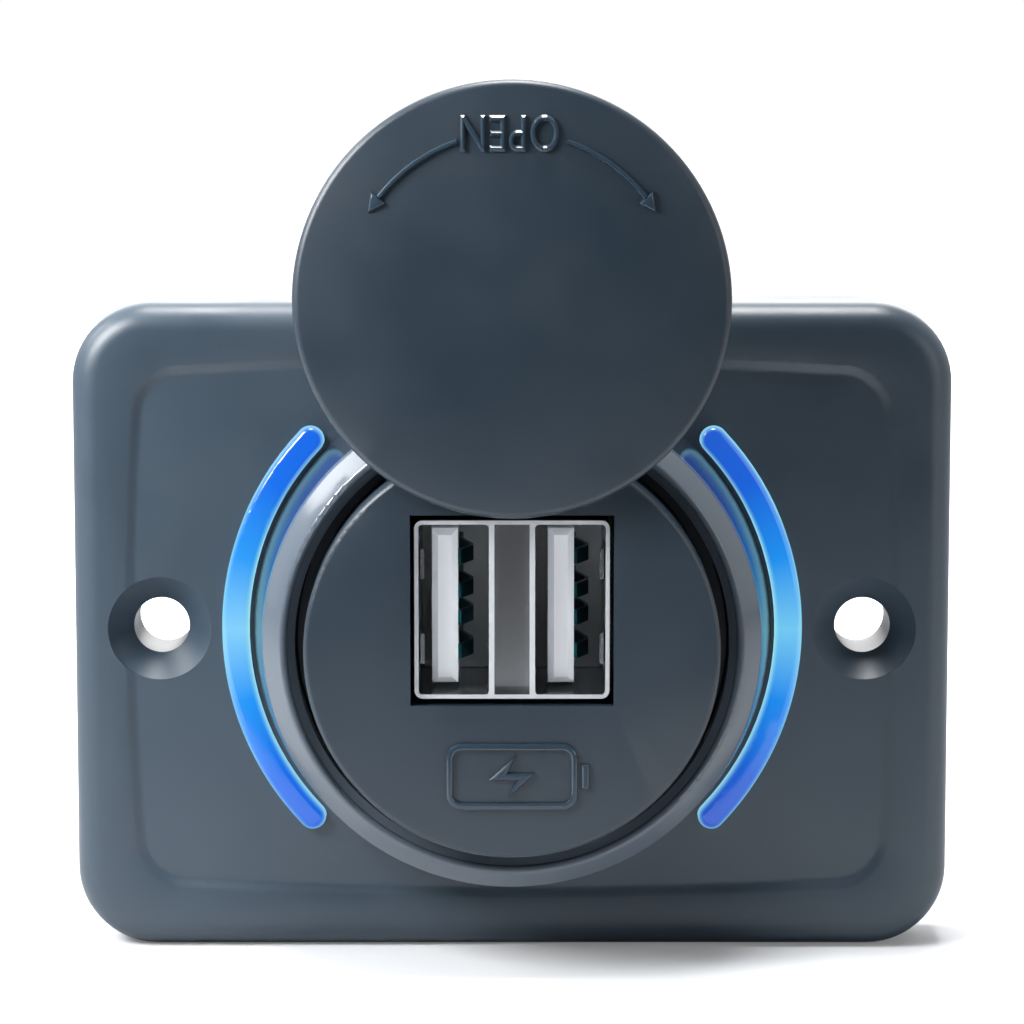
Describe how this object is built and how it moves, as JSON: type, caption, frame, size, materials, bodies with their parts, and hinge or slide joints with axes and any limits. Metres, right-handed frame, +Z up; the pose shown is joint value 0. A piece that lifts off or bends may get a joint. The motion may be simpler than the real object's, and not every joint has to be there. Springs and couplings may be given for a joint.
{
  "type": "panel-mounted twin usb socket",
  "caption": "Panel-mounted twin USB power outlet with lit side bars and a round dust cap that swings aside on a pivot.",
  "frame": {"origin": "on the socket's axis, in the plane where the plate's back meets the wall", "axes": "the front faces -Y, +Z is up, +X is to the right as seen from the front"},
  "size_m": [0.066, 0.0594, 0.066],
  "materials": {
    "slate_plastic": "satin, lightly grained moulding",
    "bezel_plastic": "semi-gloss grey moulding",
    "black_plastic": "satin moulding",
    "white_plastic": "smooth insulator",
    "black_rubber": "soft seal",
    "circuit_board": "lacquered board",
    "lamp_body": "clear lamp",
    "component_black": "moulded component",
    "lead_insulation": "insulated wire",
    "ferrite": "sintered core",
    "capacitor_can": "drawn can",
    "tinned_steel": "bright tin plating",
    "contact_metal": "plated spring strip",
    "tinned_brass": "tinned strip",
    "plated_screw": "zinc plating",
    "spring_steel": "hard strip",
    "blue_light_guide": "clear light guide lit blue"
  },
  "bodies": {
    "housing": {"face_plate": "slate_plastic", "socket_body": "bezel_plastic", "face_insert": "slate_plastic", "light_bar_left": "blue_light_guide", "light_bar_right": "blue_light_guide", "usb_shell": "tinned_steel", "usb_tongue_left": "white_plastic", "usb_tongue_right": "white_plastic", "flange_gasket": "black_rubber", "ring_nut": "black_plastic", "lamp_board": "circuit_board", "lamp_diode_left": "lamp_body", "lamp_diode_right": "lamp_body", "lamp_resistors": "component_black", "lamp_leads": "lead_insulation", "main_board": "circuit_board", "power_coil": "ferrite", "input_capacitor": "capacitor_can", "output_capacitor": "capacitor_can", "regulator_chip": "component_black", "rectifier_diode": "component_black", "terminal_positive": "tinned_brass", "terminal_negative": "tinned_brass", "rear_cover": "black_plastic", "cover_screws": "plated_screw", "left_contact_1": "contact_metal", "left_contact_2": "contact_metal", "left_contact_3": "contact_metal", "left_contact_4": "contact_metal", "right_contact_1": "contact_metal", "right_contact_2": "contact_metal", "right_contact_3": "contact_metal", "right_contact_4": "contact_metal"},
    "cap": {"swing_cap": "slate_plastic", "pivot_spring": "spring_steel", "pivot_washer": "spring_steel", "pivot_screw": "plated_screw"}
  },
  "joints": [
    {"name": "cap_swing", "type": "hinge", "parent": "housing", "child": "cap", "pos_m": [0, -0.01915, 0.0129], "axis": [0, -1, 0], "continuous": true}
  ]
}
